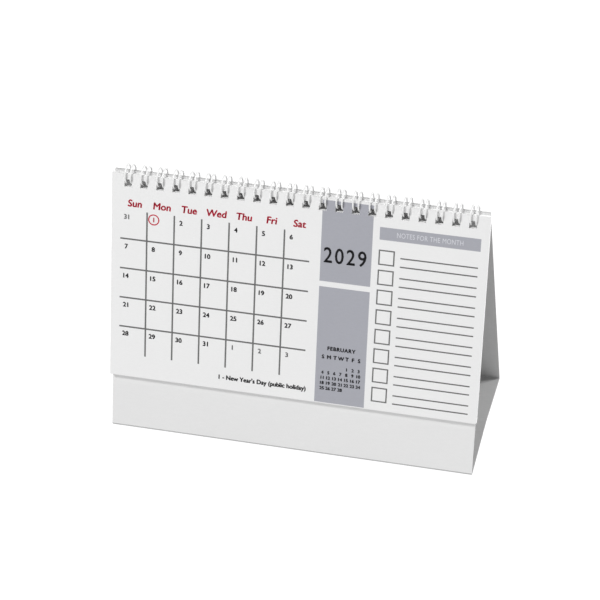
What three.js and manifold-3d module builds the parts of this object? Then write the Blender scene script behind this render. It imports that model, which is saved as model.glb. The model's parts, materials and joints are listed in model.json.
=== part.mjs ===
// Desk tent calendar: twelve month leaves on a twin-loop wire, over a folded card base.
// Millimetres, +Z up, front of the calendar facing -Y, width along X.
import * as THREE from 'three';
import Module from 'manifold-3d';
import { mergeVertices } from 'three/addons/utils/BufferGeometryUtils.js';

// Driving sizes of the month leaves
const monthNames = [
  'december', 'november', 'october', 'september', 'august', 'july',
  'june', 'may', 'april', 'march', 'february', 'january',
];
const leafSideMargin = 4.363;
const leafHeight = 112;
const leafThickness = 0.15;
const leafGap = 0.04;
const stackClearance = 0.1;
const bendLineBelowHoles = 1.8;
const bendGap = 0.4;

// Driving sizes of the punched holes
const holeSize = 4;
const holeCentreToEdge = 5;
const edgeAboveRingCentre = 1.2;

// Driving sizes of the twin-loop wire
const loopCount = 22;
const loopPitch = 8.467;
const wireDiameter = 0.9;
const fingerSpacing = 2.8;
const rootBendRadius = 0.9;
const tipGap = 1.1;
const wireStub = 0.7;
const ringPlay = 0.98;
const wireSides = 5;
const ringSteps = 12;

// Driving sizes of the folded card base
const boardThickness = 0.6;
const boardSideInset = 0.75;
const spineClearance = 0.25;
const boardEdgeAboveRingCentre = 2.2;
const panelLength = 141.5;
const leanDegrees = 16;
const foldRadius = 1;
const lipLength = 2;
const floorRise = 2.5;
const floorGap = 0.3;

// Sizes that follow from the driving ones
const lean = THREE.MathUtils.degToRad(leanDegrees);
const boardInner = wireDiameter / 2 + spineClearance;
const boardOuter = boardInner + boardThickness;
const leafWidth = loopCount * loopPitch + 2 * leafSideMargin;
const baseWidth = leafWidth - 2 * boardSideInset;
const holeCentre = edgeAboveRingCentre - holeCentreToEdge;
const leafPitch = leafThickness + leafGap;
const leafStart = boardOuter + stackClearance;
const secondLeafFace = leafStart + (monthNames.length - 2) * leafPitch + leafThickness;
const turningRadius = Math.hypot(secondLeafFace, edgeAboveRingCentre);
const frontLeafInner = turningRadius + leafGap;
const frontLeafOuter = frontLeafInner + leafThickness;
const ringRadius = frontLeafOuter + ringPlay;
const bendLine = holeCentre - holeSize / 2 - bendLineBelowHoles;

// The outer face of the front panel rises from its sharp bottom edge, at y = z = 0
const faceUp = new THREE.Vector2(Math.sin(lean), Math.cos(lean));
const faceOut = new THREE.Vector2(-Math.cos(lean), Math.sin(lean));
const ringCentre = faceUp.clone().multiplyScalar(panelLength).addScaledVector(faceOut, -boardOuter);

// Colours of the photographed pieces
const paperWhite = new THREE.MeshStandardMaterial({ color: '#f2f1f0', roughness: 0.75, metalness: 0 });
const cardWhite = new THREE.MeshStandardMaterial({ color: '#ecebea', roughness: 0.7, metalness: 0 });
const innerCard = new THREE.MeshStandardMaterial({ color: '#d9d9da', roughness: 0.85, metalness: 0 });
const wireWhite = new THREE.MeshStandardMaterial({ color: '#f4f4f4', roughness: 0.35, metalness: 0.1 });

const wasm = await Module();
wasm.setup();

function named(name, geometry, material) {
  const mesh = new THREE.Mesh(geometry, material.clone());
  mesh.name = name;
  return mesh;
}

// Centre of each loop along the spine
function loopCentres() {
  const first = -loopPitch * (loopCount - 1) / 2;
  return Array.from({ length: loopCount }, (_, i) => first + i * loopPitch);
}

function plainSheet(width, top, bottom, thickness) {
  const sheet = new THREE.BoxGeometry(width, top - bottom, thickness);
  sheet.translate(0, (top + bottom) / 2, thickness / 2);
  return sheet;
}

// Extrudes an outline in the y-z plane across the width of the base, middle at x = 0
function acrossBase(outline) {
  const geometry = new THREE.ExtrudeGeometry(outline, { depth: baseWidth, bevelEnabled: false, curveSegments: 6 });
  geometry.translate(0, 0, -baseWidth / 2);
  const turn = new THREE.Matrix4().makeBasis(
    new THREE.Vector3(0, 1, 0), new THREE.Vector3(0, 0, 1), new THREE.Vector3(1, 0, 0));
  return geometry.applyMatrix4(turn);
}

function toManifold(geometry) {
  const bare = new THREE.BufferGeometry();
  bare.setAttribute('position', geometry.getAttribute('position').clone());
  bare.setIndex(geometry.index ? geometry.index.clone() : null);
  const merged = mergeVertices(bare, 1e-5);
  return new wasm.Manifold(new wasm.Mesh({
    numProp: 3,
    vertProperties: new Float32Array(merged.getAttribute('position').array),
    triVerts: new Uint32Array(merged.index.array),
  }));
}

function fromManifold(solid) {
  const mesh = solid.getMesh();
  const geometry = new THREE.BufferGeometry();
  geometry.setAttribute('position', new THREE.BufferAttribute(new Float32Array(mesh.vertProperties), 3));
  geometry.setIndex(new THREE.BufferAttribute(new Uint32Array(mesh.triVerts), 1));
  return geometry;
}

// Takes a square hole out of a solid at each loop; place moves the punches to where the solid is
function punched(geometry, depth, middle, place = (punch) => punch) {
  let solid = toManifold(geometry);
  for (const x of loopCentres()) {
    const punch = new THREE.BoxGeometry(holeSize, holeSize, depth);
    punch.translate(x, holeCentre, middle);
    solid = solid.subtract(toManifold(place(punch)));
  }
  return fromManifold(solid);
}

function punchedSheet(width, top, bottom, thickness) {
  return punched(plainSheet(width, top, bottom, thickness), 3 * thickness, thickness / 2);
}

// Outline of a panel: the leaning wall, the rounded fold and the lip that lies on the table
function panelOutline() {
  const foldCentre = new THREE.Vector2(foldRadius / Math.tan((Math.PI / 2 - lean) / 2), foldRadius);
  const innerFold = foldRadius - boardThickness;
  const wallAngle = Math.PI - lean;
  const down = 1.5 * Math.PI;
  const top = faceUp.clone().multiplyScalar(panelLength + boardEdgeAboveRingCentre);
  const topInner = top.clone().addScaledVector(faceOut, -boardThickness);
  const lipEnd = foldCentre.x + lipLength;
  const outline = new THREE.Shape();
  outline.moveTo(lipEnd, 0);
  outline.lineTo(foldCentre.x, 0);
  outline.absarc(foldCentre.x, foldCentre.y, foldRadius, down, wallAngle, true);
  outline.lineTo(top.x, top.y);
  outline.lineTo(topInner.x, topInner.y);
  outline.absarc(foldCentre.x, foldCentre.y, innerFold, wallAngle, down, false);
  outline.lineTo(lipEnd, boardThickness);
  outline.closePath();
  return { outline, lipEnd };
}

// A panel of the base, relative to the bottom edge of its outer face
function panelGeometry() {
  const { outline } = panelOutline();
  return punched(acrossBase(outline), 3 * boardThickness, boardInner + boardThickness / 2, (punch) => {
    punch.rotateX(Math.PI / 2 - lean);
    return punch.translate(0, ringCentre.x, ringCentre.y);
  });
}

// Half of the base's floor, from the lip of a panel up to the crease in the middle
function floorGeometry() {
  const start = panelOutline().lipEnd + floorGap;
  const end = ringCentre.x - floorGap / 2;
  const outline = new THREE.Shape();
  outline.moveTo(start, 0);
  outline.lineTo(end, floorRise);
  outline.lineTo(end, floorRise + boardThickness);
  outline.lineTo(start, boardThickness);
  outline.closePath();
  return acrossBase(outline);
}

// The wire's route, unrolled: x runs along the spine, y is the way round the ring from its lowest point
function unrolledFinger(centre) {
  const half = fingerSpacing / 2;
  const tip = 2 * Math.PI * ringRadius - tipGap;
  const route = [];
  const bend = (x, from, to) => {
    for (let i = 0; i <= 3; i += 1) {
      const angle = from + (to - from) * i / 3;
      route.push([x + rootBendRadius * Math.cos(angle), rootBendRadius * (1 + Math.sin(angle))]);
    }
  };
  bend(centre - half - rootBendRadius, -Math.PI / 2, 0);
  for (let i = 1; i < ringSteps; i += 1) {
    route.push([centre - half, rootBendRadius + (tip - half - rootBendRadius) * i / ringSteps]);
  }
  for (let i = 0; i <= 5; i += 1) {
    const angle = Math.PI - Math.PI * i / 5;
    route.push([centre + half * Math.cos(angle), tip - half + half * Math.sin(angle)]);
  }
  for (let i = ringSteps - 1; i > 0; i -= 1) {
    route.push([centre + half, rootBendRadius + (tip - half - rootBendRadius) * i / ringSteps]);
  }
  bend(centre + half + rootBendRadius, Math.PI, 1.5 * Math.PI);
  return route;
}

function wireRoute() {
  const centres = loopCentres();
  const endOffset = fingerSpacing / 2 + rootBendRadius + wireStub;
  const route = [[centres[0] - endOffset, 0]];
  for (const centre of centres) route.push(...unrolledFinger(centre));
  route.push([centres[loopCount - 1] + endOffset, 0]);
  return route.map(([x, way]) => {
    const angle = way / ringRadius;
    const radial = new THREE.Vector3(0, -Math.sin(angle), -Math.cos(angle));
    const point = radial.clone().multiplyScalar(ringRadius);
    point.x = x;
    return { point, radial };
  });
}

// One unbroken tube along the route, closed by a flat cut at each end
function wireGeometry(route) {
  const positions = [];
  const faces = [];
  route.forEach(({ point, radial }, i) => {
    const before = route[Math.max(i - 1, 0)].point;
    const after = route[Math.min(i + 1, route.length - 1)].point;
    const along = after.clone().sub(before).normalize();
    const side = new THREE.Vector3().crossVectors(along, radial).normalize();
    const out = new THREE.Vector3().crossVectors(side, along);
    for (let k = 0; k < wireSides; k += 1) {
      const angle = 2 * Math.PI * k / wireSides;
      const corner = point.clone()
        .addScaledVector(out, Math.cos(angle) * wireDiameter / 2)
        .addScaledVector(side, Math.sin(angle) * wireDiameter / 2);
      positions.push(corner.x, corner.y, corner.z);
    }
  });
  for (let i = 0; i < route.length - 1; i += 1) {
    for (let k = 0; k < wireSides; k += 1) {
      const a = i * wireSides + k;
      const b = i * wireSides + (k + 1) % wireSides;
      faces.push(a, b, a + wireSides);
      faces.push(b, b + wireSides, a + wireSides);
    }
  }
  const last = (route.length - 1) * wireSides;
  for (let k = 1; k < wireSides - 1; k += 1) {
    faces.push(0, k + 1, k);
    faces.push(last, last + k, last + k + 1);
  }
  const geometry = new THREE.BufferGeometry();
  geometry.setAttribute('position', new THREE.Float32BufferAttribute(positions, 3));
  geometry.setIndex(faces);
  return geometry;
}

// Least air between stretches of the wire that are not neighbours along it
function leastWireGap(route) {
  const fine = [];
  let travelled = 0;
  for (let i = 0; i < route.length - 1; i += 1) {
    const a = route[i].point;
    const b = route[i + 1].point;
    const pieces = Math.max(1, Math.ceil(a.distanceTo(b) / 0.4));
    for (let k = 0; k < pieces; k += 1) {
      const point = a.clone().lerp(b, k / pieces);
      fine.push({ point, way: travelled + a.distanceTo(b) * k / pieces });
    }
    travelled += a.distanceTo(b);
  }
  const apart = Math.PI * fingerSpacing / 2 + wireDiameter;
  let least = Infinity;
  for (let i = 0; i < fine.length; i += 1) {
    for (let k = i + 1; k < fine.length && fine[k].way - fine[i].way < 90; k += 1) {
      if (fine[k].way - fine[i].way > apart) least = Math.min(least, fine[i].point.distanceTo(fine[k].point));
    }
  }
  return least - wireDiameter;
}

const calendar = new THREE.Group();

// The base: two panels that mirror each other about the ring, and the floor between them
const frontHalf = new THREE.Group();
frontHalf.add(named('base_front_panel', panelGeometry(), cardWhite));
frontHalf.add(named('floor_front_half', floorGeometry(), innerCard));
const backHalf = new THREE.Group();
backHalf.add(named('base_back_panel', panelGeometry(), cardWhite));
backHalf.add(named('floor_back_half', floorGeometry(), innerCard));
backHalf.rotation.z = Math.PI;
backHalf.position.y = 2 * ringCentre.x;
calendar.add(frontHalf, backHalf);

// The binding, on the axis of the ring
const route = wireRoute();
const binding = named('wire_binding', wireGeometry(route), wireWhite);
binding.position.set(0, ringCentre.x, ringCentre.y);
calendar.add(binding);
console.log(`least gap of the wire to itself: ${leastWireGap(route).toFixed(2)} mm`);

// The leaves lean on the front panel, rearmost first
const stack = new THREE.Group();
stack.position.set(0, ringCentre.x, ringCentre.y);
stack.rotation.x = Math.PI / 2 - lean;
const leafBottom = edgeAboveRingCentre - leafHeight;
monthNames.slice(0, -1).forEach((month, i) => {
  const sheet = punchedSheet(leafWidth, edgeAboveRingCentre, leafBottom, leafThickness);
  const leaf = named(`leaf_${month}`, sheet, paperWhite);
  leaf.position.z = leafStart + i * leafPitch;
  stack.add(leaf);
});

// The front leaf bends below its holes when it is turned over, so it is a bound margin and a page
const marginSheet = punchedSheet(leafWidth, edgeAboveRingCentre, bendLine, leafThickness);
const frontMargin = named('leaf_january_margin', marginSheet, paperWhite);
const pageSheet = plainSheet(leafWidth, bendLine - bendGap, leafBottom, leafThickness);
const frontPage = named('leaf_january_page', pageSheet, paperWhite);
frontMargin.position.z = frontLeafInner;
frontPage.position.z = frontLeafInner;
stack.add(frontMargin, frontPage);
calendar.add(stack);

// The origin lies below the middle of the whole
calendar.updateMatrixWorld(true);
const extent = new THREE.Box3().setFromObject(calendar);
calendar.position.y = -(extent.min.y + extent.max.y) / 2;
calendar.position.z = -extent.min.z;

export default calendar;
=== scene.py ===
"""A desk tent calendar: printed month leaves on a white twin-loop wire, over a folded card base.

Run as a script. It is laid out as an add-on: each operator makes one group of pieces, in metres, in the frame
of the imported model. The print is laid out in millimetres, from the left edge and the top edge of a leaf.
"""

import json
from calendar import month_name, monthrange
from math import cos, pi, radians, sin

import bpy
from mathutils import Matrix, Vector


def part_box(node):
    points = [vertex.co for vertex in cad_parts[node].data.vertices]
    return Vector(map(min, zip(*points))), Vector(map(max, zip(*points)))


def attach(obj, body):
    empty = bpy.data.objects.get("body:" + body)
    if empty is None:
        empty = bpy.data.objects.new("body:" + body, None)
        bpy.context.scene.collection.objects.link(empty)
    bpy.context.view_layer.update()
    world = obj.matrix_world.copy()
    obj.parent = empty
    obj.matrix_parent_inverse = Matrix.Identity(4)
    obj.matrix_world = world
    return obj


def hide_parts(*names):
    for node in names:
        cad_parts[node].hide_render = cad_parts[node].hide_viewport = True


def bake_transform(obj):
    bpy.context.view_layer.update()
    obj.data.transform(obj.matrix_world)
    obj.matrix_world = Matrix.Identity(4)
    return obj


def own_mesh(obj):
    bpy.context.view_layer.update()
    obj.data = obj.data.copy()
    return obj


bl_info = {
    "name": "Desk Tent Calendar",
    "version": (1, 0, 0),
    "blender": (4, 5, 0),
    "location": "3D View > Sidebar > Calendar",
    "description": "Makes a desk tent calendar with printed leaves, twin-loop wire and card base",
    "category": "Add Mesh",
}

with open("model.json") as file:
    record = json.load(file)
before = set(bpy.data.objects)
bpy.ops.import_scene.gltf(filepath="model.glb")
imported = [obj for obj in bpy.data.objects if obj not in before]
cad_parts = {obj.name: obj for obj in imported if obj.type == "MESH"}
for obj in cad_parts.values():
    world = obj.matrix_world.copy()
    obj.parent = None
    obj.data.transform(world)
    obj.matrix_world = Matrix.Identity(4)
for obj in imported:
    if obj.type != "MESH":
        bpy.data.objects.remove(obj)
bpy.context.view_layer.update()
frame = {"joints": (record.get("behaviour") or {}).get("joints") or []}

MM = 0.001
DAYS_IN_WEEK = 7
SCREEN_WHITE = 255
SCREEN_GAMMA = 2.2

# Places that come from the frame
joints = {joint["name"]: joint for joint in frame["joints"]}
ring_centre = Vector(joints["january_turn"]["pos_m"])
bend_point = Vector(joints["january_bend"]["pos_m"])
leaf_low, leaf_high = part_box("leaf_february")
panel_low, panel_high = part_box("base_front_panel")
floor_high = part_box("floor_front_half")[1]
leaf_bodies = ["leaf_" + month_name[number].lower() for number in range(12, 1, -1)]

# Sizes of the leaves, the holes and the wire. OUT is how far a face lies in front of the ring's centre.
LEAN = radians(16)
LEAF_WIDTH = leaf_high.x - leaf_low.x
LEAF_HEIGHT = 112 * MM
LEAF_THICKNESS = 0.15 * MM
BACK_LEAF_OUT = 1.4 * MM
LEAF_PITCH = 0.19 * MM
FRONT_LEAF_OUT = 3.843 * MM
EDGE_ABOVE_RING = 1.2 * MM
HOLE_SIZE = 4 * MM
HOLE_CENTRE_DOWN = 5 * MM
LOOPS = 22
LOOP_PITCH = 8.467 * MM
RING_RADIUS = 4.823 * MM
ROOT_BEND_RADIUS = 0.9 * MM
TIP_GAP = 1.1 * MM
WIRE_STUB = 0.7 * MM

# Sizes of the base card
BOARD_THICKNESS = 0.6 * MM
PANEL_OUT = 1.3 * MM
PANEL_EDGE_ABOVE_RING = 2.2 * MM
PANEL_HOLES_DOWN = PANEL_EDGE_ABOVE_RING - EDGE_ABOVE_RING + HOLE_CENTRE_DOWN
FOLD_RADIUS = 1 * MM
LIP_LENGTH = 2 * MM
CREASE_ROUNDING = 0.9 * MM

# How finely the curved forms are cut, and what is merged or kept sharp
FOLD_STEPS = 10
CREASE_STEPS = 8
LEAF_BEND_ROWS = 20
ROOT_BEND_STEPS = 8
STRAIGHT_STEPS = 44
TIP_STEPS = 16
WIRE_SIDES = 12
RING_STEPS = 48
LETTER_STEPS = 3
SHEET_MERGE = 1e-6
WIRE_MERGE = 1e-5
SHARP_ANGLE = radians(40)

# Where the leaf bends under its holes, down from its top edge
leaf_up = Vector((0, sin(LEAN), cos(LEAN)))
leaf_out = Vector((0, -cos(LEAN), sin(LEAN)))
bend_down = EDGE_ABOVE_RING - (bend_point - ring_centre).dot(leaf_up)
BEND_ZONE = 2.6 * MM

# Layout of the print, in millimetres from the left edge and the top edge of the leaf. First the month grid.
GRID_LEFT = 4.7
GRID_RIGHT = 104.5
GRID_TOP = 19.6
GRID_BOTTOM = 99.6
WEEKS_SHOWN = 5
DAY_STEP = 14.45
WEEK_STEP = 16.25
FIRST_DAY_LINE = 18.9
FIRST_WEEK_LINE = 35.2
NUMBER_LEFT = 8.0
NUMBER_TOP = 23.2
NUMBER_RISE = 0.1
HEADING_LEFT = 12.3
HEADING_DOWN = 15.6
HEADING_STEP = 14.42
HOLIDAY_RING = 6
HOLIDAY_RING_BAND = 0.63
FOOTNOTE_PLACE = (82.2, 105.2)

# Grey blocks and one tick box, each as left, right, top and bottom
YEAR_BLOCK = (110.2, 136.4, 1.2, 44.7)
NEXT_MONTH_BLOCK = (110.2, 136.4, 47.6, 111.6)
NOTES_BAR = (139.9, 191.0, 12.0, 18.7)
TICK_BOX = (139.85, 148.1, 24.0, 32.2)

# The year, the small grid of the next month, and the notes
YEAR_PLACE = (122.8, 30.4)
TITLE_DOWN = 81.2
INITIALS_DOWN = 86.0
SMALL_DAYS_DOWN = 91.8
SMALL_DAY_STEP = 3.15
SMALL_WEEK_STEP = 2.93
SMALL_WEEKS = 6
BAR_WORDS_DOWN = 15.35
TICK_BOXES = 8
TICK_STEP = 10.73
RULE_LEFT = 151.0
RULE_RIGHT = 190.3
FIRST_RULE = 27.5
RULE_STEP = 4.6

# Words, and their lettering: height and width in millimetres, and how far it is thickened, slanted and spaced
DAY_NAMES = ["Sun", "Mon", "Tue", "Wed", "Thu", "Fri", "Sat"]
FOOTNOTE = "1 - New Year's Day (public holiday)"
BAR_WORDS = "NOTES FOR THE MONTH"
HEADING_LETTERS = {"height": 3.6, "ink": "Red ink", "weight": 0.055, "slant": 0.1}
NUMBER_LETTERS = {"height": 2.4, "weight": 0.07}
FOOTNOTE_LETTERS = {"height": 2.35, "ink": "Black ink", "width": 46.7, "weight": 0.08}
YEAR_LETTERS = {"height": 8.0, "ink": "Black ink", "width": 22.1, "weight": 0.02, "spacing": 1.2}
TITLE_LETTERS = {"height": 1.95, "ink": "Black ink", "weight": 0.09, "spacing": 1.12}
INITIAL_LETTERS = {"height": 1.95, "ink": "Black ink", "weight": 0.095}
SMALL_DAY_LETTERS = {"height": 1.65, "ink": "Black ink", "weight": 0.1}
BAR_LETTERS = {"height": 2.6, "ink": "Bar lettering", "width": 33.5, "spacing": 1.05}

# Thickness of lines that cross others and of the notes bar, as shares of the ink's depth
CROSSING_SHARE = 0.9
BAR_SHARE = 0.5

# Finishes: the colour's property, roughness, grains on a millimetre, height of a grain in millimetres, the share
# by which the colour varies, and what differs from the usual settings
FINISHES = {
    "Leaf paper": ("paper", 0.6, 2.2, 0.02, 0.03, {"coordinates": "UV"}),
    # The paper edge is lighter than the paper face: painted light on the leaves' cut edges
    "Paper edge": ("paper_edge", 0.8, 3.0, 0.01, 0.05, {}),
    "Grey solid": ("grey_ink", 0.5, 1.6, 0.012, 0.05, {"coordinates": "UV"}),
    "Grey ink": ("grey_ink", 0.5, 1.6, 0.012, 0.05, {}),
    "Black ink": ("black_ink", 0.42, 3.0, 0.008, 0.25, {}),
    "Line ink": ("line_ink", 0.45, 3.0, 0.008, 0.2, {}),
    "Red ink": ("red_ink", 0.42, 3.0, 0.008, 0.15, {}),
    "Pale ink": ("pale_ink", 0.5, 3.0, 0.008, 0.12, {}),
    "Bar lettering": ("bar_letters", 0.6, 2.2, 0.01, 0.04, {}),
    "Coated card": ("card", 0.42, 1.1, 0.015, 0.025, {"coordinates": "UV"}),
    # The darker coat round the folds is painted shade where the card meets the floor
    "Creased card": ("crease", 0.6, 3.2, 0.04, 0.12, {"coordinates": "UV"}),
    "Card inside": ("card_back", 0.75, 1.4, 0.05, 0.07, {"coordinates": "UV"}),
    "Card core": ("card_core", 0.85, 2.5, 0.03, 0.12, {}),
    "Wire coat": ("wire", 0.32, 0.8, 0.01, 0.03, {"coat": 0.35, "specular": 0.5}),
}

# The grain of a finish: a fine and a fibrous noise, and a broad one with so many clouds on a metre
FINE_SHARE = 0.6
FIBRE_SHARE = 0.4
FIBRE_GRAIN = 0.6
FIBRE_STRETCH = (0.35, 1.0, 1.0)
CLOUD_SCALE = 45.0
NOISE_LOW = 0.3
NOISE_HIGH = 0.7
GLOSS_SPREAD = 0.05
BUMP_STRENGTH = 0.5
COAT_ROUGHNESS = 0.2

# Camera: where it looks, from how far, and how it leans
CAMERA_TARGET = Vector((0.634, -10.156, 76.368)) * MM
CAMERA_DISTANCE = 1238.8 * MM
CAMERA_AZIMUTH = radians(15.344)
CAMERA_ELEVATION = radians(37.707)
CAMERA_ROLL = radians(-2.153)
CAMERA_LENS = 145.08
SENSOR_WIDTH = 36
CLIP_START = 0.05

# Floor, sky and lights: a light's place, target, size and power
FLOOR_REACH = 20
FLOOR_LEVEL = -0.1 * MM
FLOOR_TONE = 0.2
FLOOR_GLOW = 0.9
FLOOR_ROUGHNESS = 0.9
FLOOR_SPECULAR = 0.1
SKY_STRENGTH = 0.36
LIGHTS = {
    "Key": ((-2.2, -2.0, 4.0), (0, 0, 0.07), 1.0, 154),
    "Side fill": ((2.2, 0.9, 1.6), (0, 0, 0.05), 1.0, 50),
}


def linear(red, green, blue):
    """A colour picked on a screen, 0 to 255, as a linear colour"""
    return tuple((value / SCREEN_WHITE) ** SCREEN_GAMMA for value in (red, green, blue)) + (1.0,)


def colour_property(name, description, red, green, blue):
    return bpy.props.FloatVectorProperty(
        name=name,
        description=description,
        subtype="COLOR",
        size=4,
        min=0,
        max=1,
        default=linear(red, green, blue),
    )


def length_property(name, description, millimetres):
    return bpy.props.FloatProperty(
        name=name, description=description, default=millimetres * MM, unit="LENGTH", precision=5
    )


class CalendarSizes(bpy.types.PropertyGroup):
    """Sizes of the wire and the print"""

    wire_diameter: length_property("Wire diameter", "Across the coated wire", 0.9)
    finger_spacing: length_property("Finger spacing", "Between the two wires of a loop", 2.8)
    ink_depth: length_property("Ink depth", "How proud the ink lies on the paper", 0.02)
    grid_line: length_property("Grid line", "Width of the lines between the days", 0.85)
    ruled_line: length_property("Ruled line", "Width of the lines to write on", 0.7)
    year: bpy.props.IntProperty(name="Year", description="Year of the month grids", default=2029, min=1900, max=2999)


class CalendarColours(bpy.types.PropertyGroup):
    """Colours of the paper, inks, card and wire"""

    paper: colour_property("Paper", "Offset paper of the leaves", 232, 232, 232)
    # Paper edge: lighter than the paper, painted light on the cut edges that lifts the shade between the stacked
    # leaves
    paper_edge: colour_property("Paper edge", "Fresh cut edges of the leaves", 250, 250, 250)
    grey_ink: colour_property("Grey ink", "Solid blocks of the leaves", 163, 164, 172)
    black_ink: colour_property("Black ink", "Day numbers and years", 24, 22, 28)
    line_ink: colour_property("Line ink", "Grid and ruled lines", 106, 106, 106)
    red_ink: colour_property("Red ink", "Names of the days", 192, 16, 54)
    pale_ink: colour_property("Pale ink", "Days of the months before and after", 120, 120, 120)
    card: colour_property("Card", "Coated face of the base card", 224, 224, 224)
    # Crease: painted shade, a darker coat round the fold at the foot of each panel, where the card meets the floor
    crease: colour_property("Crease", "Coat along the folds of the base card", 176, 176, 176)
    # Card inside: the inner faces of the panels and the upper face of the floor, darker than the coated face
    card_back: colour_property("Card inside", "Uncoated face of the base card", 193, 193, 193)
    card_core: colour_property("Card core", "Cut edges of the base card", 206, 206, 206)
    wire: colour_property("Wire", "Coat of the wire", 232, 232, 232)
    bar_letters: colour_property("Bar lettering", "Words in the grey bar", 209, 210, 216)


# Node trees


def add_node(tree, kind, inputs=None, **settings):
    """A node with its settings; an input is a value, or the socket that it is linked to"""
    node = tree.nodes.new(kind)
    for name, value in settings.items():
        setattr(node, name, value)
    for key, value in (inputs or {}).items():
        if isinstance(value, bpy.types.NodeSocket):
            tree.links.new(value, node.inputs[key])
        else:
            node.inputs[key].default_value = value
    return node


def maths(tree, operation, first, second=0.0):
    return add_node(tree, "ShaderNodeMath", {0: first, 1: second}, operation=operation).outputs[0]


def new_tree(name, inputs):
    """A geometry tree with named inputs"""
    tree = bpy.data.node_groups.new(name, "GeometryNodeTree")
    tree.interface.new_socket("Geometry", in_out="INPUT", socket_type="NodeSocketGeometry")
    for label, kind in inputs:
        tree.interface.new_socket(label, in_out="INPUT", socket_type="NodeSocket" + kind)
    tree.interface.new_socket("Geometry", in_out="OUTPUT", socket_type="NodeSocketGeometry")
    return tree, tree.nodes.new("NodeGroupInput").outputs


def end_tree(tree, geometry, material, selection=True):
    """Ends a tree in real geometry with its material"""
    real = add_node(tree, "GeometryNodeRealizeInstances", {"Geometry": geometry})
    finish = {"Geometry": real.outputs[0], "Selection": selection, "Material": material}
    finished = add_node(tree, "GeometryNodeSetMaterial", finish)
    add_node(tree, "NodeGroupOutput", {"Geometry": finished.outputs[0]})
    return tree


def grow(tree, values, start=None):
    """The plain mesh that a tree makes from its inputs"""
    holder = bpy.data.objects.new("holder", start or bpy.data.meshes.new("holder"))
    bpy.context.scene.collection.objects.link(holder)
    modifier = holder.modifiers.new(tree.name, "NODES")
    modifier.node_group = tree
    for socket in tree.interface.items_tree:
        if socket.in_out == "INPUT" and socket.name in values:
            modifier[socket.identifier] = values[socket.name]
    depsgraph = bpy.context.evaluated_depsgraph_get()
    mesh = bpy.data.meshes.new_from_object(holder.evaluated_get(depsgraph), depsgraph=depsgraph)
    holder.modifiers.remove(modifier)
    bpy.data.objects.remove(holder)
    if not mesh.polygons:
        raise RuntimeError(f"{tree.name} made no faces")
    return mesh


def punched_sheet_tree():
    """Takes one face of a sheet, with its width and way down in its UV map, punches the row of holes, and gives
    the sheet its thickness and its back."""
    tree, given = new_tree(
        "Punched sheet",
        [
            ("Holes", "Int"),
            ("Pitch", "Float"),
            ("Hole size", "Float"),
            ("Hole row", "Float"),
            ("Thickness", "Float"),
            ("Back", "Material"),
            ("Cut edge", "Material"),
        ],
    )
    place = add_node(tree, "GeometryNodeInputNamedAttribute", {"Name": "UVMap"}, data_type="FLOAT_VECTOR")
    parts = add_node(tree, "ShaderNodeSeparateXYZ", {0: place.outputs["Attribute"]})
    steps = maths(tree, "DIVIDE", parts.outputs["X"], given["Pitch"])
    half_row = maths(tree, "DIVIDE", given["Holes"], 2)
    inside_row = maths(tree, "LESS_THAN", maths(tree, "ABSOLUTE", steps), half_row)
    from_start = maths(tree, "ADD", steps, half_row)
    off_centre = maths(tree, "ABSOLUTE", maths(tree, "SUBTRACT", maths(tree, "FRACT", from_start), 0.5))
    half_hole = maths(tree, "DIVIDE", given["Hole size"], 2)
    across = maths(tree, "LESS_THAN", maths(tree, "MULTIPLY", off_centre, given["Pitch"]), half_hole)
    off_row = maths(tree, "ABSOLUTE", maths(tree, "SUBTRACT", parts.outputs["Y"], given["Hole row"]))
    along = maths(tree, "LESS_THAN", off_row, half_hole)
    punched = maths(tree, "MULTIPLY", inside_row, maths(tree, "MULTIPLY", across, along))
    cells = {"Geometry": given["Geometry"], "Selection": punched}
    face = add_node(tree, "GeometryNodeDeleteGeometry", cells, domain="FACE").outputs[0]
    inwards = maths(tree, "MULTIPLY", given["Thickness"], -1)
    sinking = {"Mesh": face, "Offset Scale": inwards, "Individual": False}
    sunk = add_node(tree, "GeometryNodeExtrudeMesh", sinking)
    back = {"Geometry": sunk.outputs["Mesh"], "Selection": sunk.outputs["Top"], "Material": given["Back"]}
    backed = add_node(tree, "GeometryNodeSetMaterial", back)
    turned = add_node(tree, "GeometryNodeFlipFaces", {"Mesh": backed.outputs[0]})
    both = add_node(tree, "GeometryNodeJoinGeometry", {"Geometry": face})
    tree.links.new(turned.outputs[0], both.inputs["Geometry"])
    seams = {"Geometry": both.outputs[0], "Distance": SHEET_MERGE}
    closed = add_node(tree, "GeometryNodeMergeByDistance", seams)
    return end_tree(tree, closed.outputs[0], given["Cut edge"], sunk.outputs["Side"])


def printed_bars_tree():
    """Groups of like bars of ink, such as ruled lines, each a flat block from its centre"""
    tree, given = new_tree(
        "Printed bars",
        [
            ("Groups", "Int"),
            ("Group step", "Vector"),
            ("Bars", "Int"),
            ("Bar step", "Vector"),
            ("Bar size", "Vector"),
            ("Ink", "Material"),
        ],
    )
    one_group = add_node(tree, "GeometryNodeMeshLine", {"Count": given["Bars"], "Offset": given["Bar step"]})
    groups = add_node(tree, "GeometryNodeMeshLine", {"Count": given["Groups"], "Offset": given["Group step"]})
    places = add_node(
        tree, "GeometryNodeInstanceOnPoints", {"Points": groups.outputs[0], "Instance": one_group.outputs[0]}
    )
    points = add_node(tree, "GeometryNodeRealizeInstances", {"Geometry": places.outputs[0]})
    bar = add_node(tree, "GeometryNodeMeshCube", {"Size": given["Bar size"]})
    bars = add_node(
        tree, "GeometryNodeInstanceOnPoints", {"Points": points.outputs[0], "Instance": bar.outputs["Mesh"]}
    )
    return end_tree(tree, bars.outputs[0], given["Ink"])


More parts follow.
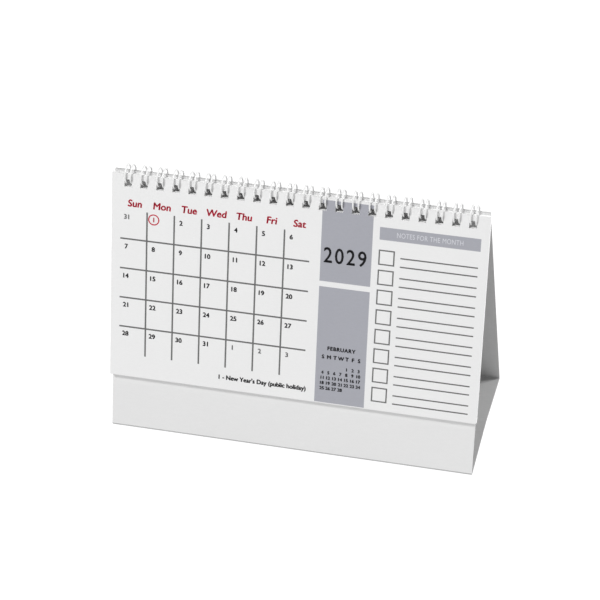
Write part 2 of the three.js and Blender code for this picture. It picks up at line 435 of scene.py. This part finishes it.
def twin_loop_tree():
    """One wire, bent into a row of double loops: the path of one loop is repeated, joined, cut to its ends and
    given its round section."""
    tree, given = new_tree(
        "Twin-loop wire",
        [
            ("Loops", "Int"),
            ("Pitch", "Float"),
            ("Cut at each end", "Float"),
            ("Wire diameter", "Float"),
            ("Sides", "Int"),
            ("One loop", "Object"),
            ("Coat", "Material"),
        ],
    )
    step = add_node(tree, "ShaderNodeCombineXYZ", {"X": given["Pitch"]})
    row = add_node(tree, "GeometryNodeMeshLine", {"Count": given["Loops"], "Offset": step.outputs[0]})
    loop = add_node(tree, "GeometryNodeObjectInfo", {"Object": given["One loop"]})
    loops = add_node(
        tree, "GeometryNodeInstanceOnPoints", {"Points": row.outputs[0], "Instance": loop.outputs["Geometry"]}
    )
    apart = add_node(tree, "GeometryNodeRealizeInstances", {"Geometry": loops.outputs[0]})
    links = {"Geometry": apart.outputs[0], "Distance": WIRE_MERGE}
    joined = add_node(tree, "GeometryNodeMergeByDistance", links)
    path = add_node(tree, "GeometryNodeMeshToCurve", {"Mesh": joined.outputs[0]}).outputs[0]
    length = add_node(tree, "GeometryNodeCurveLength", {"Curve": path}).outputs[0]
    ends = {"Curve": path, "Start_001": given["Cut at each end"]}
    ends["End_001"] = maths(tree, "SUBTRACT", length, given["Cut at each end"])
    cut = add_node(tree, "GeometryNodeTrimCurve", ends, mode="LENGTH")
    radius = maths(tree, "DIVIDE", given["Wire diameter"], 2)
    circle = {"Resolution": given["Sides"], "Radius": radius}
    section = add_node(tree, "GeometryNodeCurvePrimitiveCircle", circle)
    sweep = {"Curve": cut.outputs[0], "Profile Curve": section.outputs[0], "Fill Caps": True}
    tube = add_node(tree, "GeometryNodeCurveToMesh", sweep)
    smooth = add_node(tree, "GeometryNodeSetShadeSmooth", {"Geometry": tube.outputs[0]})
    return end_tree(tree, smooth.outputs[0], given["Coat"])


# Materials


def spread(tree, noise, low, high):
    """The usual range of a noise, mapped to the range from low to high"""
    ends = {"From Min": NOISE_LOW, "From Max": NOISE_HIGH, "To Min": low, "To Max": high}
    return add_node(tree, "ShaderNodeMapRange", {"Value": noise, **ends}).outputs[0]


def grained(name, colour, roughness, grain, depth, uneven, coordinates="Object", coat=0.0, specular=0.4):
    """A finish with a fine grain in its colour, gloss and surface. grain is how many grains lie on a millimetre,
    depth the height of the grain in millimetres, and uneven the share by which the colour varies."""
    material = bpy.data.materials.new(name)
    material.use_nodes = True
    tree = material.node_tree
    shader = tree.nodes["Principled BSDF"]
    place = add_node(tree, "ShaderNodeTexCoord").outputs[coordinates]
    stretched = add_node(tree, "ShaderNodeMapping", {"Vector": place, "Scale": FIBRE_STRETCH}).outputs[0]
    fine, fibres, clouds = (
        add_node(tree, "ShaderNodeTexNoise", noise).outputs["Fac"]
        for noise in (
            {"Vector": place, "Scale": grain / MM, "Detail": 4.0, "Roughness": 0.65},
            {"Vector": stretched, "Scale": FIBRE_GRAIN * grain / MM, "Detail": 3.0, "Distortion": 0.4},
            {"Vector": place, "Scale": CLOUD_SCALE, "Detail": 2.0},
        )
    )
    fine_part = maths(tree, "MULTIPLY", fine, FINE_SHARE)
    mixed = maths(tree, "ADD", fine_part, maths(tree, "MULTIPLY", fibres, FIBRE_SHARE))
    shade = spread(tree, mixed, 1 - uneven, 1 + uneven / 2)
    cloud = spread(tree, clouds, 1 - uneven / 3, 1.0)
    tone = maths(tree, "MULTIPLY", shade, cloud)
    tint = add_node(tree, "ShaderNodeVectorMath", {0: tuple(colour)[:3], "Scale": tone}, operation="SCALE")
    bump = {"Height": mixed, "Strength": BUMP_STRENGTH, "Distance": depth * MM}
    driven = {
        "Base Color": tint.outputs[0],
        "Roughness": spread(tree, mixed, roughness + GLOSS_SPREAD, roughness - GLOSS_SPREAD),
        "Normal": add_node(tree, "ShaderNodeBump", bump).outputs[0],
    }
    for socket, output in driven.items():
        tree.links.new(output, shader.inputs[socket])
    shader.inputs["Specular IOR Level"].default_value = specular
    shader.inputs["Coat Weight"].default_value = coat
    shader.inputs["Coat Roughness"].default_value = COAT_ROUGHNESS
    return material


def finishes():
    """The materials of the calendar, made once"""
    if "Leaf paper" not in bpy.data.materials:
        colours = bpy.context.scene.calendar_colours
        for name, (colour, roughness, grain, depth, uneven, more) in FINISHES.items():
            grained(name, getattr(colours, colour), roughness, grain, depth, uneven, **more)
    return bpy.data.materials


# Sheets


def on_card(up, out, side=-1):
    """The point up from the ring's centre along a leaf and out from it, on the front (-1) or the back (1)"""
    point = ring_centre + leaf_up * up + leaf_out * out
    point.y *= -side
    return point


def hole_edges(half_width):
    """Places across the sheet: its edges and the two sides of each hole"""
    centres = [(number - (LOOPS - 1) / 2) * LOOP_PITCH for number in range(LOOPS)]
    edges = [centre + side * HOLE_SIZE / 2 for centre in centres for side in (-1, 1)]
    return [-half_width] + edges + [half_width]


def sheet_face(name, points, across, materials, material_at=None):
    """One face of a sheet: quads between the points down its profile and the places across it. The UV map holds
    the place across and the way down from the first point, in metres."""
    ways = [0.0]
    for before, after in zip(points, points[1:]):
        ways.append(ways[-1] + (after - before).length)
    count = len(across)
    vertices = [(x, point.y, point.z) for point in points for x in across]
    places = [(x, way) for way in ways for x in across]
    faces = []
    inks = []
    for row in range(len(points) - 1):
        for column in range(count - 1):
            first = row * count + column
            faces.append((first, first + count, first + count + 1, first + 1))
            middle = (across[column] + across[column + 1]) / 2, (ways[row] + ways[row + 1]) / 2
            inks.append(material_at(*middle) if material_at else 0)
    mesh = bpy.data.meshes.new(name)
    mesh.from_pydata(vertices, [], faces)
    for material in materials:
        mesh.materials.append(material)
    mesh.polygons.foreach_set("material_index", inks)
    uv_map = mesh.uv_layers.new(name="UVMap")
    for corner, loop in enumerate(mesh.loops):
        uv_map.data[corner].uv = places[loop.vertex_index]
    return mesh


def punched_sheet(tree, face, thickness, back, cut_edge, hole_row=HOLE_CENTRE_DOWN, holes=LOOPS):
    """The closed sheet behind a face, with its row of holes"""
    values = {
        "Holes": holes,
        "Pitch": LOOP_PITCH,
        "Hole size": HOLE_SIZE,
        "Hole row": hole_row,
        "Thickness": thickness,
        "Back": back,
        "Cut edge": cut_edge,
    }
    sheet = grow(tree, values, face)
    sheet.shade_smooth()
    sheet.set_sharp_from_angle(angle=SHARP_ANGLE)
    return sheet


def add_piece(name, mesh, body=None, nodes=()):
    """Puts a mesh in the scene as a piece that rides on its body and stands for its nodes"""
    mesh.name = name
    piece = bpy.data.objects.new(name, mesh)
    bpy.context.scene.collection.objects.link(piece)
    if nodes:
        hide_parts(*nodes)
    if body:
        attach(piece, body)
    return piece


def panel_points(side):
    """Down the outer face of a base panel, round its fold and along its lip"""
    down = [0.0, PANEL_HOLES_DOWN - HOLE_SIZE / 2, PANEL_HOLES_DOWN + HOLE_SIZE / 2]
    points = [on_card(PANEL_EDGE_ABOVE_RING - way, PANEL_OUT, side) for way in down]
    centre = Vector((0, side * (abs(panel_low.y) - FOLD_RADIUS), FOLD_RADIUS))
    for step in range(FOLD_STEPS + 1):
        turn = LEAN + (-pi / 2 - LEAN) * step / FOLD_STEPS
        points.append(centre + Vector((0, side * cos(turn), sin(turn))) * FOLD_RADIUS)
    points.append(Vector((0, side * (abs(centre.y) - LIP_LENGTH), 0)))
    return points


def panel_coat(across, down):
    """Which material a cell of a panel's face has: the smooth coat, or round the fold a darker coat of painted shade
    """
    upright = (on_card(PANEL_EDGE_ABOVE_RING, PANEL_OUT).z - FOLD_RADIUS * (1 + sin(LEAN))) / cos(LEAN)
    return int(0 < down - upright < FOLD_RADIUS * (pi / 2 + LEAN))


def floor_points():
    """Along the upper face of the floor, over its crease"""
    end = abs(panel_low.y) - FOLD_RADIUS - LIP_LENGTH
    rise = floor_high.z - BOARD_THICKNESS
    slope = rise / end
    points = [Vector((0, -end, BOARD_THICKNESS))]
    for step in range(-CREASE_STEPS, CREASE_STEPS + 1):
        y = CREASE_ROUNDING * step / CREASE_STEPS
        drop = slope * (y * y / CREASE_ROUNDING + CREASE_ROUNDING) / 2
        points.append(Vector((0, y, BOARD_THICKNESS + rise - drop)))
    points.append(Vector((0, end, BOARD_THICKNESS)))
    return points


class CALENDAR_OT_base_card(bpy.types.Operator):
    """Make the folded base card: two panels with their lips, and the creased floor between them"""

    bl_idname = "calendar.base_card"
    bl_label = "Base Card"

    def execute(self, context):
        tree = punched_sheet_tree()
        coated = finishes()["Coated card"]
        inside = finishes()["Card inside"]
        core = finishes()["Card core"]
        # The fold at the foot of each panel takes the darker coat, which is painted shade where it meets the floor
        faces = [coated, finishes()["Creased card"]]
        across = hole_edges(panel_high.x)
        panels = ((-1, "base", "base_front_panel", across), (1, "back", "base_back_panel", across[::-1]))
        for side, body, node, places in panels:
            face = sheet_face(node, panel_points(side), places, faces, panel_coat)
            panel = punched_sheet(tree, face, BOARD_THICKNESS, inside, core, PANEL_HOLES_DOWN)
            add_piece(node + "_card", panel, body, [node])
        points = floor_points()
        face = sheet_face("floor", points, [panel_high.x, -panel_high.x], [inside])
        floor = punched_sheet(tree, face, BOARD_THICKNESS, coated, core, holes=0)
        floor = add_piece("floor_card", floor, "base", ["floor_front_half", "floor_back_half"])
        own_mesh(floor)
        return {"FINISHED"}


def inside_block(across, down, block):
    left, right, top, bottom = (value * MM for value in block)
    return left < across + LEAF_WIDTH / 2 < right and top < down < bottom


def leaf_ink(across, down):
    """Which material a cell of the leaf's face has: bare paper, or the grey solid"""
    return int(any(inside_block(across, down, block) for block in (YEAR_BLOCK, NEXT_MONTH_BLOCK)))


def leaf_sheet(tree, name, outer, bends=False):
    """One month leaf. The leaf that is turned over has close rows where it bends."""
    across = hole_edges(LEAF_WIDTH / 2)
    across += [value * MM - LEAF_WIDTH / 2 for value in YEAR_BLOCK[:2]]
    down = [0.0, HOLE_CENTRE_DOWN - HOLE_SIZE / 2, HOLE_CENTRE_DOWN + HOLE_SIZE / 2]
    down += [value * MM for value in YEAR_BLOCK[2:] + NEXT_MONTH_BLOCK[2:]] + [LEAF_HEIGHT]
    if bends:
        down += [bend_down + BEND_ZONE * (row / LEAF_BEND_ROWS - 0.5) for row in range(LEAF_BEND_ROWS + 1)]
    points = [on_card(EDGE_ABOVE_RING - way, outer) for way in sorted(down)]
    paper = finishes()["Leaf paper"]
    face = sheet_face(name, points, sorted(across), [paper, finishes()["Grey solid"]], leaf_ink)
    # The cut edges take the lighter paper edge, which is painted light
    return punched_sheet(tree, face, LEAF_THICKNESS, paper, finishes()["Paper edge"])


def outer_face(number):
    """How far the printed face of a leaf lies in front of the ring's centre, counted from the last month"""
    if number == len(leaf_bodies):
        return FRONT_LEAF_OUT
    return BACK_LEAF_OUT + LEAF_PITCH * number + LEAF_THICKNESS


class CALENDAR_OT_leaves(bpy.types.Operator):
    """Make the twelve month leaves, with their holes and their solid grey blocks"""

    bl_idname = "calendar.leaves"
    bl_label = "Month Leaves"

    def execute(self, context):
        tree = punched_sheet_tree()
        for number, body in enumerate(leaf_bodies):
            add_piece(body + "_sheet", leaf_sheet(tree, body, outer_face(number)), body, [body])
        sheet = leaf_sheet(tree, "january", outer_face(len(leaf_bodies)), bends=True)
        nodes = ["leaf_january_margin", "leaf_january_page"]
        january = add_piece("leaf_january_sheet", sheet, nodes=nodes)
        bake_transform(january)
        return {"FINISHED"}


# Print


class Plate:
    """All the ink of one page, laid out in millimetres on the leaf, and turned into one mesh"""

    def __init__(self, inks):
        self.inks = inks
        self.vertices = []
        self.faces = []
        self.slots = []

    def add(self, shape, place, ink):
        """Adds a shape, as points and faces, under a matrix from its own millimetres to the leaf's"""
        start = len(self.vertices)
        points, faces = shape
        self.vertices += [place @ Vector(point) for point in points]
        self.faces += [tuple(start + corner for corner in face) for face in faces]
        self.slots += [self.inks.index(ink)] * len(faces)

    def press(self, name, outer):
        """The mesh of the plate, on the leaf whose printed face lies at the given distance"""
        corner = on_card(EDGE_ABOVE_RING, outer) - Vector((LEAF_WIDTH / 2, 0, 0))
        axes = Matrix(((1, 0, 0), leaf_up, leaf_out)).transposed()
        place = Matrix.Translation(corner) @ axes.to_4x4()
        mesh = bpy.data.meshes.new(name)
        mesh.from_pydata([place @ point for point in self.vertices], [], self.faces)
        for ink in self.inks:
            mesh.materials.append(finishes()[ink])
        mesh.polygons.foreach_set("material_index", self.slots)
        return mesh


def mesh_shape(mesh):
    """The points and faces of a mesh"""
    return [vertex.co.copy() for vertex in mesh.vertices], [tuple(face.vertices) for face in mesh.polygons]


# The words that are made already
lettering = {}


def plain_word(text, slant=0.0, spacing=1.0):
    """The points and faces of a word in the plain built-in letters"""
    curve = bpy.data.curves.new("word", "FONT")
    curve.body = text
    curve.resolution_u = LETTER_STEPS
    curve.shear = slant
    curve.space_character = spacing
    curve.extrude = 0.5
    holder = bpy.data.objects.new("word", curve)
    shape = mesh_shape(bpy.data.meshes.new_from_object(holder))
    bpy.data.objects.remove(holder)
    return shape


def word_shape(text, weight=0.0, slant=0.0, spacing=1.0):
    """Letters one unit high and one deep, centred on their place. weight thickens their strokes, by laying the
    word three times, each a little aside."""
    key = (text, weight, slant, spacing)
    if key not in lettering:
        heights = [point.y for point in plain_word("H")[0]]
        height = max(heights) - min(heights)
        points, faces = plain_word(text, slant, spacing)
        middle = (min(point.x for point in points) + max(point.x for point in points)) / 2
        placed = [Vector(((point.x - middle) / height, point.y / height - 0.5, point.z + 0.5)) for point in points]
        asides = [(-weight, -weight / 2), (weight, -weight / 2), (0, weight)] if weight else [(0, 0)]
        copies = [[point + Vector((right, up, 0)) for point in placed] for right, up in asides]
        starts = [number * len(placed) for number in range(len(copies))]
        repeated = [tuple(start + corner for corner in face) for start in starts for face in faces]
        lettering[key] = [point for copy in copies for point in copy], repeated
    return lettering[key]


def put_word(plate, text, across, down, height, ink, width=None, lift=0.0, **style):
    """Prints a word around a place on the leaf, in a given height, and squeezed to a width if one is given"""
    depth = bpy.context.scene.calendar_sizes.ink_depth
    points, faces = word_shape(text, **style)
    reach = max(point.x for point in points) - min(point.x for point in points)
    stretch = width / (reach * height) if width else 1.0
    place = Matrix.Translation((across * MM, -down * MM, lift))
    size = Matrix.Diagonal((height * MM * stretch, height * MM, depth, 1))
    plate.add((points, faces), place @ size, ink)


def ring_shape(band):
    """A flat ring of diameter one and depth one, with a band of the given width"""
    points = []
    for step in range(RING_STEPS):
        turn = 2 * pi * step / RING_STEPS
        for radius, height in ((0.5, 0), (0.5, 1), (0.5 - band, 1), (0.5 - band, 0)):
            points.append(Vector((radius * cos(turn), radius * sin(turn), height)))
    faces = []
    for step in range(RING_STEPS):
        here, after = step * 4, (step + 1) % RING_STEPS * 4
        for corner in range(4):
            follow = (corner + 1) % 4
            faces.append((here + corner, after + corner, after + follow, here + follow))
    return points, faces


def bars_shape(tree, ink, corner, size, groups=1, group_step=(0, 0), bars=1, bar_step=(0, 0), share=1.0):
    """Printed bars, in metres on the leaf: the first from its left top corner, and steps to the right and down"""
    depth = bpy.context.scene.calendar_sizes.ink_depth * share
    values = {
        "Groups": groups,
        "Group step": (group_step[0] * MM, -group_step[1] * MM, 0.0),
        "Bars": bars,
        "Bar step": (bar_step[0] * MM, -bar_step[1] * MM, 0.0),
        "Bar size": (size[0] * MM, size[1] * MM, depth),
        "Ink": finishes()[ink],
    }
    centre = Vector(((corner[0] + size[0] / 2) * MM, -(corner[1] + size[1] / 2) * MM, depth / 2))
    points, faces = mesh_shape(grow(tree, values))
    return [point + centre for point in points], faces


def ruling():
    """Every line and bar that is the same on all pages, as shapes with their inks"""
    tree = printed_bars_tree()
    sizes = bpy.context.scene.calendar_sizes
    grid = sizes.grid_line / MM
    rule = sizes.ruled_line / MM
    left, right, top, bottom = TICK_BOX
    box_corner = (left, top)
    day_lines = {
        "corner": (FIRST_DAY_LINE - grid / 2, GRID_TOP),
        "size": (grid, GRID_BOTTOM - GRID_TOP),
        "groups": DAYS_IN_WEEK - 1,
        "group_step": (DAY_STEP, 0),
    }
    week_lines = {
        "corner": (GRID_LEFT, FIRST_WEEK_LINE - grid / 2),
        "size": (GRID_RIGHT - GRID_LEFT, grid),
        "groups": WEEKS_SHOWN - 1,
        "group_step": (0, WEEK_STEP),
        "share": CROSSING_SHARE,
    }
    pairs = {"groups": TICK_BOXES, "group_step": (0, TICK_STEP), "bars": 2}
    ruled_lines = {
        "corner": (RULE_LEFT, FIRST_RULE - rule / 2),
        "size": (RULE_RIGHT - RULE_LEFT, rule),
        "bar_step": (0, RULE_STEP),
        **pairs,
    }
    box_rims = {"corner": box_corner, "size": (right - left, rule), "bar_step": (0, bottom - top - rule), **pairs}
    box_sides = {
        "corner": box_corner,
        "size": (rule, bottom - top),
        "bar_step": (right - left - rule, 0),
        "share": CROSSING_SHARE,
        **pairs,
    }
    lines = (day_lines, week_lines, ruled_lines, box_rims, box_sides)
    shapes = [(bars_shape(tree, "Line ink", **line), "Line ink") for line in lines]
    left, right, top, bottom = NOTES_BAR
    bar = bars_shape(tree, "Grey ink", (left, top), (right - left, bottom - top), share=BAR_SHARE)
    return shapes + [(bar, "Grey ink")]


def month_days(year, month, weeks):
    """The days of a month in weeks from Sunday, as (week, column, label, of this month). Days past the number of
    weeks share a cell with the days of the last one."""
    first, days = monthrange(year, month)
    start = (first + 1) % DAYS_IN_WEEK
    cell_count = weeks * DAYS_IN_WEEK
    last_week = weeks - 1
    before = monthrange(year - 1, 12)[1] if month == 1 else monthrange(year, month - 1)[1]
    cells = [(0, column, str(before - start + 1 + column), False) for column in range(start)]
    for day in range(1, days + 1):
        week, column = divmod(start + day - 1, DAYS_IN_WEEK)
        if week <= last_week:
            after = day + DAYS_IN_WEEK
            label = f"{day}/{after}" if week == last_week and after <= days else str(day)
            cells.append((week, column, label, True))
    filled = min(start + days, cell_count)
    for place in range(filled, cell_count):
        cells.append((place // DAYS_IN_WEEK, place % DAYS_IN_WEEK, str(place - filled + 1), False))
    return cells


def print_month(plate, year, month):
    """The month grid: names of the days, day numbers, and the holiday with its footnote"""
    for number, name in enumerate(DAY_NAMES):
        put_word(plate, name, HEADING_LEFT + HEADING_STEP * number, HEADING_DOWN, **HEADING_LETTERS)
    for week, column, label, own in month_days(year, month, WEEKS_SHOWN):
        across = NUMBER_LEFT + DAY_STEP * column
        down = NUMBER_TOP + WEEK_STEP * week - NUMBER_RISE * week
        new_year = own and month == 1 and label == "1"
        ink = "Red ink" if new_year else "Black ink" if own else "Pale ink"
        put_word(plate, label, across, down, ink=ink, **NUMBER_LETTERS)
        if new_year:
            place = Matrix.Translation((across * MM, -down * MM, 0))
            depth = bpy.context.scene.calendar_sizes.ink_depth
            size = Matrix.Diagonal((HOLIDAY_RING * MM, HOLIDAY_RING * MM, depth, 1))
            plate.add(ring_shape(HOLIDAY_RING_BAND / HOLIDAY_RING), place @ size, "Red ink")
            put_word(plate, FOOTNOTE, *FOOTNOTE_PLACE, **FOOTNOTE_LETTERS)


def print_next_month(plate, year, month):
    """The small grid of the month that follows"""
    next_year, next_month = divmod(year * 12 + month, 12)
    middle = (NEXT_MONTH_BLOCK[0] + NEXT_MONTH_BLOCK[1]) / 2
    put_word(plate, month_name[next_month + 1].upper(), middle, TITLE_DOWN, **TITLE_LETTERS)
    first_column = middle - (DAYS_IN_WEEK - 1) / 2 * SMALL_DAY_STEP
    for number, name in enumerate(DAY_NAMES):
        put_word(plate, name[0], first_column + SMALL_DAY_STEP * number, INITIALS_DOWN, **INITIAL_LETTERS)
    for week, column, label, own in month_days(next_year, next_month + 1, SMALL_WEEKS):
        if own:
            across = first_column + SMALL_DAY_STEP * column
            down = SMALL_DAYS_DOWN + SMALL_WEEK_STEP * week
            put_word(plate, label, across, down, **SMALL_DAY_LETTERS)


def print_page(plate, year, month, shapes):
    """Everything that is printed on the face of a month leaf"""
    for shape, ink in shapes:
        plate.add(shape, Matrix.Identity(4), ink)
    print_month(plate, year, month)
    put_word(plate, str(year), *YEAR_PLACE, **YEAR_LETTERS)
    print_next_month(plate, year, month)
    lift = bpy.context.scene.calendar_sizes.ink_depth * BAR_SHARE
    put_word(plate, BAR_WORDS, (NOTES_BAR[0] + NOTES_BAR[1]) / 2, BAR_WORDS_DOWN, lift=lift, **BAR_LETTERS)


class CALENDAR_OT_page_print(bpy.types.Operator):
    """Print the month pages: grid, day numbers, year, next month, tick boxes and ruled lines"""

    bl_idname = "calendar.page_print"
    bl_label = "Page Print"

    def execute(self, context):
        inks = ["Black ink", "Line ink", "Red ink", "Pale ink", "Grey ink", "Bar lettering"]
        shapes = ruling()
        year = context.scene.calendar_sizes.year
        bodies = leaf_bodies + ["january_page"]
        for number, body in enumerate(bodies):
            plate = Plate(inks)
            print_page(plate, year, len(bodies) - number, shapes)
            mesh = plate.press(body + "_print", outer_face(number))
            add_piece(body + "_print", mesh, body)
        return {"FINISHED"}


# Wire


def one_loop(spacing):
    """The path of one double loop on the ring, from half way along the link before it to half way along the
    link after it. Its links lie at the bottom of the ring, inside the tent."""
    half = spacing / 2
    tip = 2 * pi * RING_RADIUS - TIP_GAP
    bend = ROOT_BEND_RADIUS
    quarter = [pi / 2 * step / ROOT_BEND_STEPS for step in range(ROOT_BEND_STEPS + 1)]
    straight = [bend + (tip - half - bend) * step / STRAIGHT_STEPS for step in range(1, STRAIGHT_STEPS)]
    route = [(-LOOP_PITCH / 2, 0.0)]
    route += [(-half - bend + bend * cos(-pi / 2 + turn), bend * (1 + sin(-pi / 2 + turn))) for turn in quarter]
    route += [(-half, way) for way in straight]
    for step in range(TIP_STEPS + 1):
        turn = pi - pi * step / TIP_STEPS
        route.append((half * cos(turn), tip - half + half * sin(turn)))
    route += [(half, way) for way in reversed(straight)]
    route += [(half + bend + bend * cos(pi + turn), bend * (1 + sin(pi + turn))) for turn in quarter]
    route.append((LOOP_PITCH / 2, 0.0))
    first = ring_centre.x - (LOOPS - 1) / 2 * LOOP_PITCH
    points = []
    for across, way in route:
        turn = way / RING_RADIUS
        around = Vector((0, -sin(turn), -cos(turn))) * RING_RADIUS
        points.append(Vector((first + across, ring_centre.y + around.y, ring_centre.z + around.z)))
    mesh = bpy.data.meshes.new("one loop")
    mesh.from_pydata(points, [(step, step + 1) for step in range(len(points) - 1)], [])
    return mesh


class CALENDAR_OT_wire(bpy.types.Operator):
    """Make the twin-loop wire: one coated wire, bent into double loops through the holes"""

    bl_idname = "calendar.wire"
    bl_label = "Twin-Loop Wire"

    def execute(self, context):
        sizes = context.scene.calendar_sizes
        loop = bpy.data.objects.new("one loop", one_loop(sizes.finger_spacing))
        link = LOOP_PITCH / 2 - sizes.finger_spacing / 2 - ROOT_BEND_RADIUS
        values = {
            "Loops": LOOPS,
            "Pitch": LOOP_PITCH,
            "Cut at each end": link - WIRE_STUB,
            "Wire diameter": sizes.wire_diameter,
            "Sides": WIRE_SIDES,
            "One loop": loop,
            "Coat": finishes()["Wire coat"],
        }
        wire = grow(twin_loop_tree(), values)
        bpy.data.objects.remove(loop)
        add_piece("twin_loop_wire", wire, "binding", ["wire_binding"])
        return {"FINISHED"}


# Stage


def add_light(name, place, target, size, power):
    light = bpy.data.lights.new(name, "AREA")
    light.shape = "DISK"
    light.size = size
    light.energy = power
    lamp = bpy.data.objects.new(name, light)
    towards = (Vector(target) - Vector(place)).to_track_quat("-Z", "Y")
    lamp.matrix_world = Matrix.Translation(place) @ towards.to_matrix().to_4x4()
    bpy.context.scene.collection.objects.link(lamp)


class CALENDAR_OT_stage(bpy.types.Operator):
    """Set up the pale floor, the soft light and the camera"""

    bl_idname = "calendar.stage"
    bl_label = "Studio Stage"

    def execute(self, context):
        scene = context.scene
        plain = bpy.data.materials.new("Studio floor")
        plain.use_nodes = True
        shader = plain.node_tree.nodes["Principled BSDF"]
        shader.inputs["Base Color"].default_value = (FLOOR_TONE, FLOOR_TONE, FLOOR_TONE, 1)
        shader.inputs["Emission Color"].default_value = (1, 1, 1, 1)
        shader.inputs["Emission Strength"].default_value = FLOOR_GLOW
        shader.inputs["Roughness"].default_value = FLOOR_ROUGHNESS
        shader.inputs["Specular IOR Level"].default_value = FLOOR_SPECULAR
        mesh = bpy.data.meshes.new("studio_floor")
        sides = ((-1, -1), (1, -1), (1, 1), (-1, 1))
        corners = [(x * FLOOR_REACH, y * FLOOR_REACH, FLOOR_LEVEL) for x, y in sides]
        mesh.from_pydata(corners, [], [(0, 1, 2, 3)])
        mesh.materials.append(plain)
        ground = bpy.data.objects.new("studio_floor", mesh)
        scene.collection.objects.link(ground)

        world = bpy.data.worlds.new("Studio")
        world.use_nodes = True
        sky = world.node_tree.nodes["Background"]
        sky.inputs["Color"].default_value = (1, 1, 1, 1)
        sky.inputs["Strength"].default_value = SKY_STRENGTH
        scene.world = world
        for name, light in LIGHTS.items():
            add_light(name, *light)
        scene.view_settings.view_transform = "Standard"

        level = cos(CAMERA_ELEVATION)
        back = Vector((sin(CAMERA_AZIMUTH) * level, -cos(CAMERA_AZIMUTH) * level, sin(CAMERA_ELEVATION)))
        right = (-back).cross(Vector((0, 0, 1))).normalized()
        up = right.cross(-back)
        leaned_right = right * cos(CAMERA_ROLL) + up * sin(CAMERA_ROLL)
        leaned_up = up * cos(CAMERA_ROLL) - right * sin(CAMERA_ROLL)
        turn = Matrix((leaned_right, leaned_up, back)).transposed().to_4x4()
        lens = bpy.data.cameras.new("Camera")
        lens.lens = CAMERA_LENS
        lens.sensor_width = SENSOR_WIDTH
        lens.clip_start = CLIP_START
        camera = bpy.data.objects.new("Camera", lens)
        camera.matrix_world = Matrix.Translation(CAMERA_TARGET + back * CAMERA_DISTANCE) @ turn
        scene.collection.objects.link(camera)
        scene.camera = camera
        return {"FINISHED"}


OPERATORS = (
    CALENDAR_OT_base_card,
    CALENDAR_OT_leaves,
    CALENDAR_OT_page_print,
    CALENDAR_OT_wire,
    CALENDAR_OT_stage,
)


class CALENDAR_PT_panel(bpy.types.Panel):
    """Sizes, colours and pieces of the calendar"""

    bl_idname = "CALENDAR_PT_panel"
    bl_label = "Desk Tent Calendar"
    bl_space_type = "VIEW_3D"
    bl_region_type = "UI"
    bl_category = "Calendar"

    def draw(self, context):
        for group in (context.scene.calendar_sizes, context.scene.calendar_colours):
            box = self.layout.box()
            for name in group.bl_rna.properties.keys():
                if name not in ("rna_type", "name"):
                    box.prop(group, name)
        for operator in OPERATORS:
            self.layout.operator(operator.bl_idname)


CLASSES = (CalendarSizes, CalendarColours, *OPERATORS, CALENDAR_PT_panel)


def register():
    for item in CLASSES:
        bpy.utils.register_class(item)
    bpy.types.Scene.calendar_sizes = bpy.props.PointerProperty(type=CalendarSizes)
    bpy.types.Scene.calendar_colours = bpy.props.PointerProperty(type=CalendarColours)


def unregister():
    del bpy.types.Scene.calendar_colours
    del bpy.types.Scene.calendar_sizes
    for item in reversed(CLASSES):
        bpy.utils.unregister_class(item)


def main():
    register()
    bpy.ops.calendar.base_card()
    bpy.ops.calendar.leaves()
    bpy.ops.calendar.page_print()
    bpy.ops.calendar.wire()
    bpy.ops.calendar.stage()


if __name__ == "__main__":
    main()
